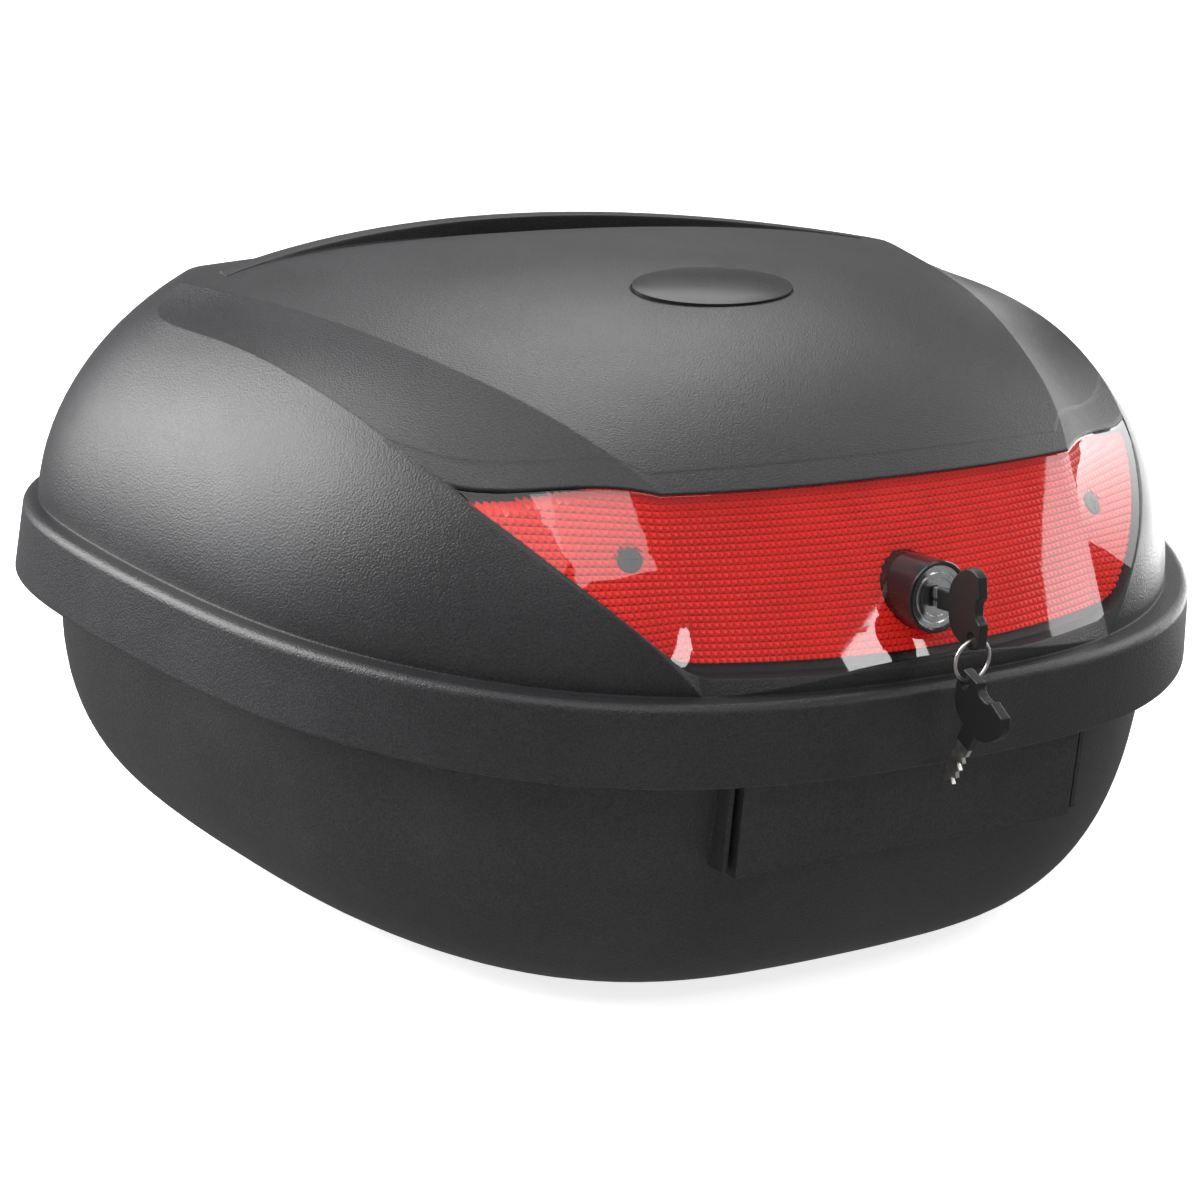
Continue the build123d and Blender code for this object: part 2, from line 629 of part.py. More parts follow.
# ---- lid ------------------------------------------------------------------------------------
def spoiler_lip():
    """Raised lip along the hinge-side edge of the roof panel."""
    inner_y = LIP_END_Y - LIP_THICKNESS
    outer = ThreePointArc((-LIP_END_X, LIP_END_Y), (0, LIP_MIDDLE_Y), (LIP_END_X, LIP_END_Y))
    inner_middle = (0, LIP_MIDDLE_Y - LIP_THICKNESS)
    inner = ThreePointArc((LIP_END_X, inner_y), inner_middle, (-LIP_END_X, inner_y))
    ends = [
        Line((LIP_END_X, LIP_END_Y), (LIP_END_X, inner_y)),
        Line((-LIP_END_X, inner_y), (-LIP_END_X, LIP_END_Y)),
    ]
    plan = Pos(0, 0, LIP_ROOT_Z) * make_face([outer, ends[0], inner, ends[1]])
    wall = extrude(plan, FAR)
    reach = LIP_END_X + 5
    top = ThreePointArc((-reach, LIP_END_Z), (0, LIP_MIDDLE_Z), (reach, LIP_END_Z))
    sides = [
        Line((reach, LIP_END_Z), (reach, 0)),
        Line((reach, 0), (-reach, 0)),
        Line((-reach, 0), (-reach, LIP_END_Z)),
    ]
    under = extrude(Plane.XZ * make_face([top] + sides), -FAR)
    return wall & under


def lid_knuckle(side):
    """Moulded knuckle with its web, outside the skirt."""
    x = side * HINGE_X
    half = KNUCKLE_WIDTH / 2
    web = block(x - half, x + half, KNUCKLE_ROOT_Y, KNUCKLE_WEB_Y, HINGE_Z, KNUCKLE_TOP_Z - 1)
    ring = Pos(x, HINGE_Y, HINGE_Z) * Rot(0, 90, 0) * Cylinder(KNUCKLE_RADIUS, KNUCKLE_WIDTH)
    corners = Polyline(
        (KNUCKLE_WEB_Y, KNUCKLE_SLOPE_Z), (KNUCKLE_WEB_Y, KNUCKLE_TOP_Z),
        (KNUCKLE_SLOPE_Y, KNUCKLE_TOP_Z), close=True,
    )
    slope = extrude(Plane.YZ * make_face(corners), KNUCKLE_WIDTH, both=True)
    return web + ring - Pos(x, 0, 0) * slope


def lid_shell():
    skirt = loft([outline(SKIRT_BOTTOM, 0), outline(SKIRT_TOP, SKIRT_DRAFT)], ruled=True)
    skirt = fillet(skirt.edges().group_by(Axis.Z)[-1], SKIRT_EDGE_RADIUS)
    skirt = fillet(skirt.edges().group_by(Axis.Z)[0], SKIRT_FOOT_RADIUS)
    body = dome(0, DOME_FOOT) & rear_facet(0) & roof(0)
    body += spoiler_lip() & dome(-6, DOME_FOOT)
    shell = skirt + body
    for side in (-1, 1):
        shell += lid_knuckle(side)
    inner_skirt = loft(
        [outline(SKIRT_BOTTOM - 1, LID_WALL), outline(LID_SEAT_Z, SKIRT_DRAFT + LID_WALL)],
        ruled=True,
    )
    hollow = dome(LID_WALL, LID_SEAT_Z - 1) & rear_facet(POCKET_DEPTH + LID_WALL) & roof(LID_WALL)
    boss = moved(rod(BOSS_RADIUS, BOSS_BACK, -4), LOCK) & rear_facet(POCKET_DEPTH)
    shell -= inner_skirt
    shell -= hollow
    shell -= facet_slab(0, POCKET_DEPTH, LENS_EDGE, ROOF_LIP, FACET_LOW_Z)
    shell += boss
    shell -= moved(rod(BEZEL_RADIUS + 0.2, BEZEL_BACK, 20), LOCK)
    shell -= moved(rod(BARREL_RADIUS + 0.1, BOSS_BACK - 5, 0), LOCK)
    for side in (-1, 1):
        shell -= moved(rod(LENS_SCREW_HOLE, -14, 0), lens_screw_place(side))
        shell -= Pos(side * HINGE_X, HINGE_Y, HINGE_Z) * Rot(0, 90, 0) * Cylinder(
            PIN_RADIUS + PIN_CLEARANCE, KNUCKLE_WIDTH + 2
        )
    recess = Pos(0, 0, -BADGE_SINK) * Ellipse(BADGE_HALF_LENGTH + 0.5, BADGE_HALF_WIDTH + 0.5)
    shell -= moved(extrude(recess, 8), BADGE)
    shell -= moved(rod(2.1, -12, 4), BADGE)
    return shell


BADGE = Location((0, BADGE_Y, BADGE_Z), (BADGE_TILT, 0, 0))


def lens_screw_place(side):
    """Location of a reflector screw, its local Z out of the facet's wing."""
    beyond_kink = LENS_SCREW_X - FACET_KINK_X
    low_y = FACET_LOW_KINK_Y + FACET_LOW_WING_SLOPE * beyond_kink
    high_y = FACET_HIGH_KINK_Y + FACET_HIGH_WING_SLOPE * beyond_kink
    lean = (high_y - low_y) / (FACET_HIGH_Z - FACET_LOW_Z)
    slope = side * facet_y(LENS_SCREW_Z, FACET_LOW_WING_SLOPE, FACET_HIGH_WING_SLOPE)
    place = (side * LENS_SCREW_X, facet_y(LENS_SCREW_Z, low_y, high_y), LENS_SCREW_Z)
    normal = Vector(slope, -1, lean).normalized()
    return Location(Plane(origin=place, x_dir=(1, slope, 0), z_dir=normal))


save("lid_shell", lid_shell())

lock_hole = moved(rod(BEZEL_RADIUS + 0.3, -60, 20), LOCK)
lens = facet_slab(
    0, LENS_THICKNESS, LENS_EDGE + LENS_GAP, ROOF_LIP + LENS_TOP_GAP, FACET_LOW_Z + LENS_GAP
)
lens -= lock_hole
panel = facet_slab(
    LENS_THICKNESS + 0.1, POCKET_DEPTH - 0.3,
    LENS_EDGE + PANEL_SIDE_BORDER, ROOF_LIP + PANEL_BORDER, FACET_LOW_Z + PANEL_BORDER,
)
panel -= lock_hole
for side in (-1, 1):
    panel -= moved(rod(LENS_SCREW_HEAD + 0.5, -LENS_SCREW_SEAT, 4), lens_screw_place(side))
    panel -= moved(rod(1.8, -12, 4), lens_screw_place(side))
save("reflector_lens", lens)
save("prism_panel", panel)

lens_screw = Pos(0, 0, -LENS_SCREW_SEAT) * screw(1.5, LENS_SCREW_LENGTH, LENS_SCREW_HEAD, 1.5)
lens_screws = [moved(lens_screw, lens_screw_place(side)) for side in (-1, 1)]
save("reflector_screws", Compound(lens_screws))

badge = extrude(Pos(0, 0, -BADGE_SINK) * Ellipse(BADGE_HALF_LENGTH, BADGE_HALF_WIDTH), 12)
badge &= Pos(0, 0, -BADGE_DOME_DROP) * scale(Sphere(1), by=BADGE_DOME)
badge += rod(2.0, -8, -BADGE_SINK + 0.1)
save("badge", moved(badge, BADGE))

# ---- lock -----------------------------------------------------------------------------------
bezel = rod(BEZEL_RADIUS, BEZEL_BACK, 0.8) - rod(FACE_RADIUS + 0.1, -FACE_THICKNESS, 2)
bezel -= rod(BARREL_RADIUS + 0.1, BEZEL_BACK - 1, 0)
bezel = chamfer(bezel.edges().group_by(Axis.Z)[-1], 0.5)
save("lock_bezel", moved(bezel, LOCK))

bore = rod(PLUG_RADIUS + RUNNING, BARREL_BACK - 1, 2)
barrel = rod(FACE_RADIUS, -FACE_THICKNESS, 0) + rod(BARREL_RADIUS, BARREL_BACK, -FACE_THICKNESS)
barrel -= bore
barrel -= rod(11.6, -0.7, 1) - rod(10.8, -0.7, 1)
save("lock_barrel", moved(barrel, LOCK))

hexagon = RegularPolygon(radius=NUT_FLATS / 2, side_count=6, major_radius=False)
nut = extrude(Pos(0, 0, BOSS_BACK - NUT_THICKNESS) * hexagon, NUT_THICKNESS)
nut -= rod(BARREL_RADIUS + 0.05, BOSS_BACK - 10, 0)
save("lock_nut", moved(nut, LOCK))

key_slot = Pos(0, 0, -12) * Box(BLADE_THICKNESS + 0.3, BLADE_HEIGHT + 0.3, 28)
plug = rod(PLUG_RADIUS, CAM_FRONT, -0.3) - key_slot
plug += Pos(0, 0, CAM_FRONT - CAM_THICKNESS / 2) * Box(CAM_SQUARE, CAM_SQUARE, CAM_THICKNESS)
plug -= rod(1.6, CAM_FRONT - 5, CAM_FRONT + 8)
save("lock_plug", moved(plug, LOCK))

cam_arm = SlotOverall(CAM_REACH + CAM_WIDTH, CAM_WIDTH, rotation=90)
cam_plate = Circle(CAM_HUB_RADIUS) + Pos(0, -CAM_REACH / 2) * cam_arm
cam_plate -= Rectangle(CAM_SQUARE + 0.1, CAM_SQUARE + 0.1)
cam_plate &= Pos(0, (CAM_HUB_RADIUS - CAM_REACH) / 2) * Rectangle(FAR, CAM_REACH + CAM_HUB_RADIUS)
cam = extrude(Pos(0, 0, CAM_FRONT - CAM_THICKNESS) * cam_plate, CAM_THICKNESS)
save("lock_cam", moved(cam, LOCK))

cam_screw = Pos(0, 0, CAM_FRONT - CAM_THICKNESS) * Rot(180, 0, 0) * screw(1.5, 10, 5.5, 2.2)
save("cam_screw", moved(cam_screw, LOCK))


# ---- keys: local X along the blade towards the head, local Y across it ----------------------
def key_head():
    """Moulded grip with a notched outer edge and an eye for the ring."""
    profile = [
        Line((2, -4.5), (10, -4.5)),
        ThreePointArc((10, -4.5), (13.5, -13), (20, -16.5)),
        ThreePointArc((20, -16.5), (25, -18), (31, -16.5)),
        Line((31, -16.5), (32, -6)),
        ThreePointArc((32, -6), (29, -3.5), (28.5, 0)),
        ThreePointArc((28.5, 0), (29, 3), (31, 5)),
        Line((31, 5), (30, 14)),
        ThreePointArc((30, 14), (24, 17), (18, 15)),
        ThreePointArc((18, 15), (13, 11), (10, 4.5)),
        Line((10, 4.5), (2, 4.5)),
        Line((2, 4.5), (2, -4.5)),
    ]
    head = extrude(make_face(profile), KEY_THICKNESS / 2, both=True)
    corners = head.edges().filter_by(Axis.Z).filter_by(lambda edge: edge.center().X > 11)
    head = fillet(corners, 1.0)
    head = fillet(head.faces().filter_by(Plane.XY).edges(), 0.9)
    pocket = Pos(-12, 0, 0) * Box(40, BLADE_HEIGHT + 0.02, BLADE_THICKNESS + 0.02)
    return head - pocket - Pos(EYE_X, EYE_Y, 0) * Cylinder(EYE_RADIUS, 20)


def key_blade():
    """Flat steel blade with cuts along one edge and a groove along its side."""
    top = BLADE_HEIGHT / 2
    points = [(8, -top), (-20, -top), (-23, -top + 2.5), (-20, top - 2.2)]
    for cut in range(4):
        x = -18.5 + cut * 4.2
        depth = (2.4, 1.2, 2.8, 1.6)[cut]
        points += [(x, top), (x + 1.4, top - depth), (x + 2.4, top - depth), (x + 3.6, top)]
    points.append((8, top))
    blade = extrude(make_face(Polyline(*points, close=True)), BLADE_THICKNESS / 2, both=True)
    groove = Pos(-9, -1.2, BLADE_THICKNESS / 2) * Box(26, 1.2, 0.8)
    return blade - groove


# The inserted key's blade lies on the lock's axis with its head upright.
INSERTED = LOCK * Location(Plane(origin=(0, 0, 0), x_dir=(0, 0, 1), z_dir=(-1, 0, 0)))
save("key_head", moved(key_head(), INSERTED))
save("key_blade", moved(key_blade(), INSERTED))

eye = INSERTED * Location((EYE_X, EYE_Y, 0))
eye_y, eye_z = eye.position.Y, eye.position.Z
ring_z = eye_z - RING_RADIUS - EYE_SLACK
ring = Pos(0, eye_y, ring_z) * Rot(90, 0, 0) * Torus(RING_RADIUS, RING_WIRE)
save("key_ring", ring)

spare_eye_z = ring_z - RING_RADIUS - EYE_SLACK
spare_axes = Plane(
    origin=(0, eye_y, spare_eye_z),
    x_dir=(0, -sin(radians(SPARE_TILT)), cos(radians(SPARE_TILT))),
    z_dir=(1, 0, 0),
)
SPARE = Location(spare_axes) * Location((-EYE_X, -EYE_Y, 0))
save("spare_key_head", moved(key_head(), SPARE))
save("spare_key_blade", moved(key_blade(), SPARE))
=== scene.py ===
import math

import bmesh
import bpy
from mathutils import Matrix, Vector
from mathutils.bvhtree import BVHTree


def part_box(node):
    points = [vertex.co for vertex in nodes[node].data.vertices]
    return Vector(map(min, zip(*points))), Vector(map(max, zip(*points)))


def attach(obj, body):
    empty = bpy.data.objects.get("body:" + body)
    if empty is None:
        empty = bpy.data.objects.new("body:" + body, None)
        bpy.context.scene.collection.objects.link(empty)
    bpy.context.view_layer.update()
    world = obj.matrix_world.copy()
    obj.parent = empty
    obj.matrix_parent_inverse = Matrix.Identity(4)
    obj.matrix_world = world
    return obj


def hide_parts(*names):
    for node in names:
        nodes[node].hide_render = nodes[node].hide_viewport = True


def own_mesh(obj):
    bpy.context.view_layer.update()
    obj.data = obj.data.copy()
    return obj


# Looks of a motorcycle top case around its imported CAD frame. Metres, +Z up, -Y to the rear.
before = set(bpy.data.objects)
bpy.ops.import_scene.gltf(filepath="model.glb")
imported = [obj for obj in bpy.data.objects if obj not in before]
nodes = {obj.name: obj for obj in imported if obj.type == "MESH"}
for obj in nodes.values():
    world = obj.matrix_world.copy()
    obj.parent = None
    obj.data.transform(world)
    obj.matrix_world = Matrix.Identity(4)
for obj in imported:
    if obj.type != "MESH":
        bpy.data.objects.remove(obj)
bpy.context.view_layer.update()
scene = bpy.context.scene

PLASTIC_SHEEN = 0.42     # specular level of the etched plastics
LENS_SHINE = 0.065       # share of light the lens mirrors square on
PRISM_PAINTED_GLOW = 0.26        # emission strength of the painted glow on the reflector's plastic, standing in for the light its prisms send back
STUDIO_FILL = 0.25       # strength of the dim light from all round
RUBBER_GRAIN_DEPTH = 0.00006
WELD_DISTANCE = 0.000002


# ---- materials ------------------------------------------------------------------------------
def start_material(name):
    """A new node material with its Principled shader: (material, tree, shader)."""
    material = bpy.data.materials.new(name)
    material.use_nodes = True
    tree = material.node_tree
    return material, tree, tree.nodes["Principled BSDF"]


def object_place(tree):
    """Output socket with the surface point in the row frame, in metres."""
    return tree.nodes.new("ShaderNodeTexCoord").outputs["Object"]


def noise(tree, size, detail=2.0, roughness=0.5, stretch=None):
    """Noise whose features are about size metres across. Returns its value socket."""
    texture = tree.nodes.new("ShaderNodeTexNoise")
    texture.inputs["Scale"].default_value = 1 / size
    texture.inputs["Detail"].default_value = detail
    texture.inputs["Roughness"].default_value = roughness
    place = object_place(tree)
    if stretch:
        mapping = tree.nodes.new("ShaderNodeMapping")
        mapping.inputs["Scale"].default_value = stretch
        tree.links.new(place, mapping.inputs["Vector"])
        place = mapping.outputs["Vector"]
    tree.links.new(place, texture.inputs["Vector"])
    return texture.outputs["Fac"]


def remap(tree, value, low, high, to_low, to_high):
    """The value moved from one range to another, clamped."""
    node = tree.nodes.new("ShaderNodeMapRange")
    node.inputs["From Min"].default_value = low
    node.inputs["From Max"].default_value = high
    node.inputs["To Min"].default_value = to_low
    node.inputs["To Max"].default_value = to_high
    tree.links.new(value, node.inputs["Value"])
    return node.outputs["Result"]


def arithmetic(tree, operation, first, second):
    """Math node on two inputs, each a socket or a number. Returns its value socket."""
    node = tree.nodes.new("ShaderNodeMath")
    node.operation = operation
    for socket, value in zip(node.inputs, (first, second)):
        if isinstance(value, (int, float)):
            socket.default_value = value
        else:
            tree.links.new(value, socket)
    return node.outputs["Value"]


def blend_colour(tree, factor, first, second):
    """Mix of two colours by a value socket."""
    node = tree.nodes.new("ShaderNodeMix")
    node.data_type = "RGBA"
    node.inputs["A"].default_value = (*first, 1)
    node.inputs["B"].default_value = (*second, 1)
    tree.links.new(factor, node.inputs["Factor"])
    return node.outputs["Result"]


def bump(tree, height, depth, normal=None):
    """Bump node: height is a value socket from 0 to 1, depth its full height in metres."""
    node = tree.nodes.new("ShaderNodeBump")
    node.inputs["Strength"].default_value = 1.0
    node.inputs["Distance"].default_value = depth
    tree.links.new(height, node.inputs["Height"])
    if normal:
        tree.links.new(normal, node.inputs["Normal"])
    return node.outputs["Normal"]


def rounded_edges(tree, radius):
    """Normal that softens moulded edges by a radius."""
    node = tree.nodes.new("ShaderNodeBevel")
    node.samples = 4
    node.inputs["Radius"].default_value = radius
    return node.outputs["Normal"]


def moulded_plastic(name, dark, light, roughness, grain, depth, edge):
    """Moulded plastic with a fine etched grain, faint colour drift and softened edges."""
    material, tree, shader = start_material(name)
    fine = noise(tree, grain, detail=1.0)
    drift = noise(tree, 0.06, detail=3.0)
    mottled = arithmetic(tree, "MULTIPLY", fine, remap(tree, drift, 0.3, 0.7, 0.85, 1.15))
    tone = remap(tree, mottled, 0.3, 0.7, 0.0, 1.0)
    tree.links.new(blend_colour(tree, tone, dark, light), shader.inputs["Base Color"])
    shine = remap(tree, drift, 0.3, 0.7, roughness - 0.03, roughness + 0.04)
    tree.links.new(shine, shader.inputs["Roughness"])
    shader.inputs["Specular IOR Level"].default_value = PLASTIC_SHEEN
    normal = bump(tree, fine, depth, rounded_edges(tree, edge))
    tree.links.new(normal, shader.inputs["Normal"])
    return material


def metal(name, colour, roughness, brushed, edge):
    """Metal with fine marks along X and faint handling wear."""
    material, tree, shader = start_material(name)
    shader.inputs["Metallic"].default_value = 1.0
    worn = noise(tree, 0.004, detail=4.0)
    darker = tuple(0.82 * c for c in colour)
    tone = remap(tree, worn, 0.35, 0.65, 0.0, 1.0)
    tree.links.new(blend_colour(tree, tone, darker, colour), shader.inputs["Base Color"])
    shine = remap(tree, worn, 0.3, 0.7, roughness * 0.75, roughness * 1.3)
    tree.links.new(shine, shader.inputs["Roughness"])
    marks = noise(tree, 0.0006, detail=2.0, stretch=(0.12, 1.0, 1.0))
    normal = bump(tree, marks, brushed, rounded_edges(tree, edge))
    tree.links.new(normal, shader.inputs["Normal"])
    return material


def rubber(name, colour, grain):
    """Matt rubber with a dusty grain."""
    material, tree, shader = start_material(name)
    fine = noise(tree, grain, detail=3.0)
    dusty = tuple(1.6 * c for c in colour)
    tone = remap(tree, fine, 0.35, 0.65, 0.0, 1.0)
    tree.links.new(blend_colour(tree, tone, colour, dusty), shader.inputs["Base Color"])
    tree.links.new(remap(tree, fine, 0.3, 0.7, 0.7, 0.9), shader.inputs["Roughness"])
    tree.links.new(bump(tree, fine, RUBBER_GRAIN_DEPTH), shader.inputs["Normal"])
    return material


def lens_acrylic():
    """Clear acrylic, lightly smoked: see-through square on, mirror-like at a slant."""
    material, tree, shader = start_material("lens_acrylic")
    tree.nodes.remove(shader)
    clear = tree.nodes.new("ShaderNodeBsdfTransparent")
    clear.inputs["Color"].default_value = (0.93, 0.90, 0.90, 1)
    mirror = tree.nodes.new("ShaderNodeBsdfGlossy")
    mirror.inputs["Color"].default_value = (1, 1, 1, 1)
    scuffs = noise(tree, 0.03, detail=4.0)
    tree.links.new(remap(tree, scuffs, 0.3, 0.7, 0.015, 0.04), mirror.inputs["Roughness"])
    weight = tree.nodes.new("ShaderNodeLayerWeight")
    weight.inputs["Blend"].default_value = 0.5
    slant = arithmetic(tree, "POWER", weight.outputs["Facing"], 4.0)
    shine = arithmetic(tree, "MULTIPLY_ADD", slant, 1 - LENS_SHINE)
    shine.node.inputs[2].default_value = LENS_SHINE
    side = tree.nodes.new("ShaderNodeNewGeometry").outputs["Backfacing"]
    front = arithmetic(tree, "SUBTRACT", 1.0, side)
    amount = arithmetic(tree, "MULTIPLY", shine, front)
    mix = tree.nodes.new("ShaderNodeMixShader")
    tree.links.new(amount, mix.inputs["Fac"])
    tree.links.new(clear.outputs["BSDF"], mix.inputs[1])
    tree.links.new(mirror.outputs["BSDF"], mix.inputs[2])
    output = tree.nodes["Material Output"]
    tree.links.new(mix.outputs["Shader"], output.inputs["Surface"])
    return material


def prism_plastic():
    """Red moulded prism plastic, saturated and glossy, with a faint painted glow standing in for
    the light a reflector sends back, and its upward-facing facets painted brighter as if lit from
    above.
    """
    material, tree, shader = start_material("prism_plastic")
    drift = noise(tree, 0.02, detail=2.0)
    # painted light: facets that face up get a brighter red, as if lit from above; the small
    # mottling added to it is random tone
    split = tree.nodes.new("ShaderNodeSeparateXYZ")
    facing = tree.nodes.new("ShaderNodeNewGeometry").outputs["True Normal"]
    tree.links.new(facing, split.inputs["Vector"])
    painted_top_light = remap(tree, split.outputs["Z"], 0.05, 0.95, 0.0, 0.9)
    mottled = remap(tree, drift, 0.35, 0.65, 0.0, 0.1)
    tone = arithmetic(tree, "ADD", painted_top_light, mottled)
    red = blend_colour(tree, tone, (0.30, 0.002, 0.002), (0.95, 0.030, 0.018))
    tree.links.new(red, shader.inputs["Base Color"])
    # painted glow: this emission stands in for the light the prisms send back, and is brighter on
    # the facets painted lighter
    tree.links.new(red, shader.inputs["Emission Color"])
    shader.inputs["Emission Strength"].default_value = PRISM_PAINTED_GLOW
    tree.links.new(remap(tree, drift, 0.3, 0.7, 0.16, 0.24), shader.inputs["Roughness"])
    shader.inputs["Specular IOR Level"].default_value = 0.3
    shader.inputs["Coat Weight"].default_value = 0.1
    shader.inputs["Coat Roughness"].default_value = 0.12
    return material


def gloss(name, dark, light, roughness, sheen, coat, edge):
    """Glossy moulded plastic with fine surface ripple."""
    material, tree, shader = start_material(name)
    ripple = noise(tree, 0.03, detail=1.0)
    tone = remap(tree, ripple, 0.2, 0.8, 0.0, 1.0)
    tree.links.new(blend_colour(tree, tone, dark, light), shader.inputs["Base Color"])
    shine = remap(tree, ripple, 0.2, 0.8, roughness * 0.9, roughness * 1.1)
    tree.links.new(shine, shader.inputs["Roughness"])
    shader.inputs["Specular IOR Level"].default_value = sheen
    shader.inputs["Coat Weight"].default_value = coat
    shader.inputs["Coat Roughness"].default_value = 0.05
    if edge:
        tree.links.new(rounded_edges(tree, edge), shader.inputs["Normal"])
    return material


LID_PLASTIC = moulded_plastic(
    "lid_plastic", (0.012, 0.012, 0.013), (0.024, 0.024, 0.026), 0.39, 0.0009, 0.00022, 0.0015
)
BASE_PLASTIC = moulded_plastic(
    "base_plastic", (0.012, 0.012, 0.012), (0.024, 0.024, 0.024), 0.46, 0.0009, 0.00022, 0.0012
)
COVER_PLASTIC = moulded_plastic(
    "cover_plastic", (0.012, 0.012, 0.013), (0.020, 0.020, 0.021), 0.46, 0.0006, 0.00004, 0.0006
)
BUTTON_PLASTIC = moulded_plastic(
    "button_plastic", (0.45, 0.012, 0.010), (0.55, 0.022, 0.016), 0.42, 0.0006, 0.00003, 0.0005
)
KEY_PLASTIC = moulded_plastic(
    "key_plastic", (0.006, 0.006, 0.006), (0.010, 0.010, 0.010), 0.40, 0.0005, 0.00003, 0.0006
)
SEAL_RUBBER = rubber("seal_rubber", (0.012, 0.012, 0.012), 0.0012)
MAT_RUBBER = rubber("mat_rubber", (0.018, 0.018, 0.018), 0.0016)
STEEL = metal("zinc_plated_steel", (0.42, 0.42, 0.43), 0.42, 0.00002, 0.0003)
DARK_STEEL = metal("black_oxide_steel", (0.035, 0.035, 0.037), 0.5, 0.00002, 0.0003)
ZINC = metal("die_cast_zinc", (0.50, 0.49, 0.47), 0.38, 0.00003, 0.0004)
CHROME = metal("chrome", (0.88, 0.88, 0.89), 0.16, 0.000002, 0.0003)
NICKEL = metal("nickel", (0.82, 0.80, 0.76), 0.34, 0.000005, 0.0002)
LENS = lens_acrylic()
PRISM = prism_plastic()
BADGE = gloss("badge_gloss", (0.016, 0.016, 0.017), (0.024, 0.024, 0.026), 0.28, 0.2, 0.0, 0)
BEZEL = gloss("bezel_gloss", (0.008, 0.008, 0.008), (0.013, 0.013, 0.013), 0.16, 0.5, 0.4, 0.0006)

FINISHES = {
    "base_shell": BASE_PLASTIC,
    "rim_seal": SEAL_RUBBER,
    "floor_mat": MAT_RUBBER,
    "hinge_pin_left": STEEL,
    "hinge_pin_right": STEEL,
    "keeper_bracket": STEEL,
    "keeper_screws": STEEL,
    "release_slider": BUTTON_PLASTIC,
    "release_cover": COVER_PLASTIC,
    "release_cover_screws": STEEL,
    "release_spring": STEEL,
    "lid_shell": LID_PLASTIC,
    "reflector_lens": LENS,
    "prism_panel": PRISM,
    "reflector_screws": DARK_STEEL,
    "badge": BADGE,
    "lock_bezel": BEZEL,
    "lock_barrel": CHROME,
    "lock_nut": ZINC,
    "lock_plug": CHROME,
    "lock_cam": ZINC,
    "cam_screw": STEEL,
    "key_head": KEY_PLASTIC,
    "key_blade": NICKEL,
    "key_ring": NICKEL,
    "spare_key_head": KEY_PLASTIC,
    "spare_key_blade": NICKEL,
}
for name, material in FINISHES.items():
    for slot in nodes[name].material_slots:
        slot.material = material


# ---- prism panel ----------------------------------------------------------------------------
PRISM_PITCH_X = 0.0031
PRISM_PITCH_Z = 0.0026
PRISM_DEPTH = 0.0015
PRISM_SKIN = 0.00005     # how far the field's tips stand behind the panel's own face
PRISM_MARGIN = 3         # rows and columns beyond the panel on every side
PRISM_BACKING = 0.01     # how far the field's block reaches past the panel's front edge
MIN_ROW_HITS = 20        # a row with fewer points on the panel is filled from its neighbours


def face_outward(build):
    """Turns a closed mesh's faces so that they all look out of it."""
    bmesh.ops.recalc_face_normals(build, faces=build.faces)
    if build.calc_volume(signed=True) < 0:
        bmesh.ops.reverse_faces(build, faces=build.faces)


def welded_copy(name, source):
    """Mesh object with a CAD node's shape in the row frame, its vertices joined."""
    mesh = source.data.copy()
    mesh.name = name
    mesh.transform(source.matrix_world)
    build = bmesh.new()
    build.from_mesh(mesh)
    bmesh.ops.remove_doubles(build, verts=build.verts, dist=WELD_DISTANCE)
    face_outward(build)
    build.to_mesh(mesh)
    build.free()
    return bpy.data.objects.new(name, mesh)


def fill_row(places, depths):
    """Depths along a row with the gaps joined and the ends carried on in a straight line."""
    known = [i for i, depth in enumerate(depths) if depth is not None]
    first, second = known[0], known[2]
    last, before = known[-1], known[-3]
    row = []
    for i, place in enumerate(places):
        if i < first:
            rate = (depths[second] - depths[first]) / (places[second] - places[first])
            row.append(depths[first] + rate * (place - places[first]))
        elif i > last:
            rate = (depths[last] - depths[before]) / (places[last] - places[before])
            row.append(depths[last] + rate * (place - places[last]))
        elif depths[i] is None:
            left = max(k for k in known if k < i)
            right = min(k for k in known if k > i)
            share = (place - places[left]) / (places[right] - places[left])
            row.append(depths[left] + share * (depths[right] - depths[left]))
        else:
            row.append(depths[i])
    return row


def front_depths(shape, columns, rows):
    """Y of the shape's rear-facing surface over a grid of X and Z, filled beyond its edges."""
    tree = BVHTree.FromPolygons(
        [vertex.co for vertex in shape.data.vertices],
        [polygon.vertices for polygon in shape.data.polygons],
    )
    grid = []
    for z in rows:
        hits = [tree.ray_cast(Vector((x, -1, z)), Vector((0, 1, 0)))[0] for x in columns]
        depths = [hit.y if hit else None for hit in hits]
        enough = sum(depth is not None for depth in depths) > MIN_ROW_HITS
        grid.append(fill_row(columns, depths) if enough else None)
    for i in range(len(columns)):
        column = fill_row(rows, [line[i] if line else None for line in grid])
        for line, depth in enumerate(column):
            grid[line] = grid[line] or [None] * len(columns)
            grid[line][i] = depth
    return grid


def span(low, high, pitch):
    """Even steps of a pitch covering low to high with the margin on both sides."""
    count = math.ceil((high - low) / pitch) + 2 * PRISM_MARGIN
    start = (low + high - count * pitch) / 2
    return [start + pitch * i for i in range(count + 1)]


